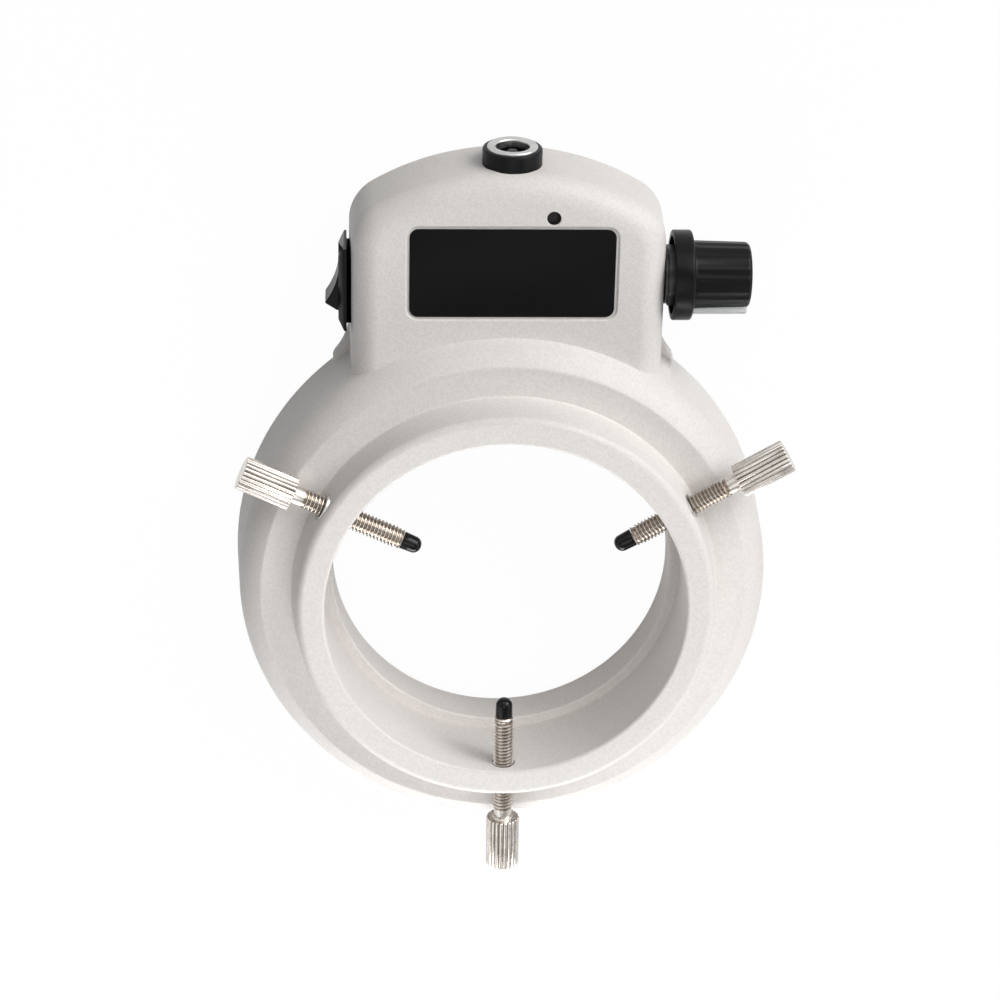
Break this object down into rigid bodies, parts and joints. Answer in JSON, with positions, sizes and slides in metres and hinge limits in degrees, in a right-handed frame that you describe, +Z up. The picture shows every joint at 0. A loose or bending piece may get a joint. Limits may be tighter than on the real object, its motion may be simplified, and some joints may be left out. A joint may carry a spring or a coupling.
{
  "type": "microscope ring light",
  "caption": "Ring light for a stereo microscope: round lamp ring with a clamping collar, side control box with rocker switch, dimmer knob and power socket, and thumb screws.",
  "frame": {"origin": "on the ring's axis, in the plane of the lower rim that the part lies on", "axes": "+Z up along the ring's axis towards the collar, -Y from the axis towards the control box, +X towards the rocker switch"},
  "size_m": [0.1018, 0.1376, 0.0295],
  "materials": {
    "white_plastic": "fine grained off-white moulding",
    "clear_plastic": "clear polished",
    "label_black": "bare satin black film",
    "dark_window": "dark tinted, glossy",
    "dark_part": "moulded electronic part",
    "board_white": "white solder resist",
    "lamp_white": "clear epoxy lamps on a white holder",
    "plain_steel": "plain, slightly worn",
    "board_green": "green solder resist",
    "red_insulation": "soft insulation",
    "black_insulation": "soft insulation",
    "black_plastic": "satin black moulding",
    "plated_steel": "nickel plated, bright",
    "yellow_metal": "plain",
    "grey_plastic": "light grey moulding",
    "black_rubber": "smooth, slightly glossy"
  },
  "bodies": {
    "housing": {"upper_housing": "white_plastic", "base_cover": "white_plastic", "lens_ring": "clear_plastic", "label_plate": "label_black", "indicator_window": "dark_window", "indicator_led": "dark_part", "led_board": "board_white", "led_lamp_ring": "lamp_white", "led_board_screw_1": "plain_steel", "led_board_screw_2": "plain_steel", "led_board_screw_3": "plain_steel", "base_screw_1": "plain_steel", "base_screw_2": "plain_steel", "driver_board": "board_green", "inductor": "dark_part", "capacitor": "dark_part", "driver_chip": "dark_part", "driver_screw_1": "plain_steel", "driver_screw_2": "plain_steel", "switch_lead": "red_insulation", "dimmer_lead": "red_insulation", "jack_lead": "black_insulation", "lamp_lead": "black_insulation", "dc_jack_ring": "black_plastic", "dc_jack_mouth": "plated_steel", "dc_jack_pin": "plated_steel", "dc_jack_terminal_1": "plated_steel", "dc_jack_terminal_2": "plated_steel", "dc_jack_body": "black_plastic", "rocker_bezel": "black_plastic", "rocker_terminal_1": "yellow_metal", "rocker_terminal_2": "yellow_metal", "dimmer_pot_body": "plain_steel", "dimmer_bushing": "yellow_metal", "dimmer_washer": "plain_steel", "dimmer_nut": "plain_steel", "dimmer_terminals": "plated_steel", "screw_insert_1": "plain_steel", "screw_insert_2": "plain_steel", "screw_insert_3": "plain_steel"},
    "rocker": {"rocker_paddle": "black_plastic"},
    "dimmer": {"dimmer_shaft": "grey_plastic", "dimmer_knob": "black_plastic", "knob_pointer": "grey_plastic"},
    "screw_1_tip": {"screw_cap_1": "black_rubber"},
    "screw_1": {"thumb_screw_1": "plated_steel"},
    "screw_2_tip": {"screw_cap_2": "black_rubber"},
    "screw_2": {"thumb_screw_2": "plated_steel"},
    "screw_3_tip": {"screw_cap_3": "black_rubber"},
    "screw_3": {"thumb_screw_3": "plated_steel"}
  },
  "joints": [
    {"name": "rocker_tilt", "type": "hinge", "parent": "housing", "child": "rocker", "pos_m": [0.02745, -0.0559, 0.00635], "axis": [0, 0, 1], "range_deg": [0, 33]},
    {"name": "dimmer_turn", "type": "hinge", "parent": "housing", "child": "dimmer", "pos_m": [-0.0352, -0.0579, 0.0086], "axis": [-1, 0, 0], "range_deg": [-212, 88]},
    {"name": "screw_1_travel", "type": "slide", "parent": "housing", "child": "screw_1_tip", "axis": [0.0087, -1, 0], "range_m": [-0.0136, 0.00585]},
    {"name": "screw_1_turn", "type": "hinge", "parent": "screw_1_tip", "child": "screw_1", "pos_m": [-0.00017, 0.0196, 0.0256], "axis": [0.0087, -1, 0], "range_deg": [-6995, 3009]},
    {"name": "screw_2_travel", "type": "slide", "parent": "housing", "child": "screw_2_tip", "axis": [0.8616, 0.5075, 0], "range_m": [-0.0102, 0.00925]},
    {"name": "screw_2_turn", "type": "hinge", "parent": "screw_2_tip", "child": "screw_2", "pos_m": [-0.01982, -0.01167, 0.0256], "axis": [0.8616, 0.5075, 0], "range_deg": [-5246, 4758]},
    {"name": "screw_3_travel", "type": "slide", "parent": "housing", "child": "screw_3_tip", "axis": [-0.9078, 0.4195, 0], "range_m": [-0.0139, 0.00548]},
    {"name": "screw_3_turn", "type": "hinge", "parent": "screw_3_tip", "child": "screw_3", "pos_m": [0.01568, -0.01158, 0.0256], "axis": [-0.9078, 0.4195, 0], "range_deg": [-7149, 2819]}
  ],
  "couplings": [
    {"joint": "screw_1_turn", "follows": "screw_1_travel", "rad_per_m": 8976},
    {"joint": "screw_2_turn", "follows": "screw_2_travel", "rad_per_m": 8976},
    {"joint": "screw_3_turn", "follows": "screw_3_travel", "rad_per_m": 8976}
  ]
}
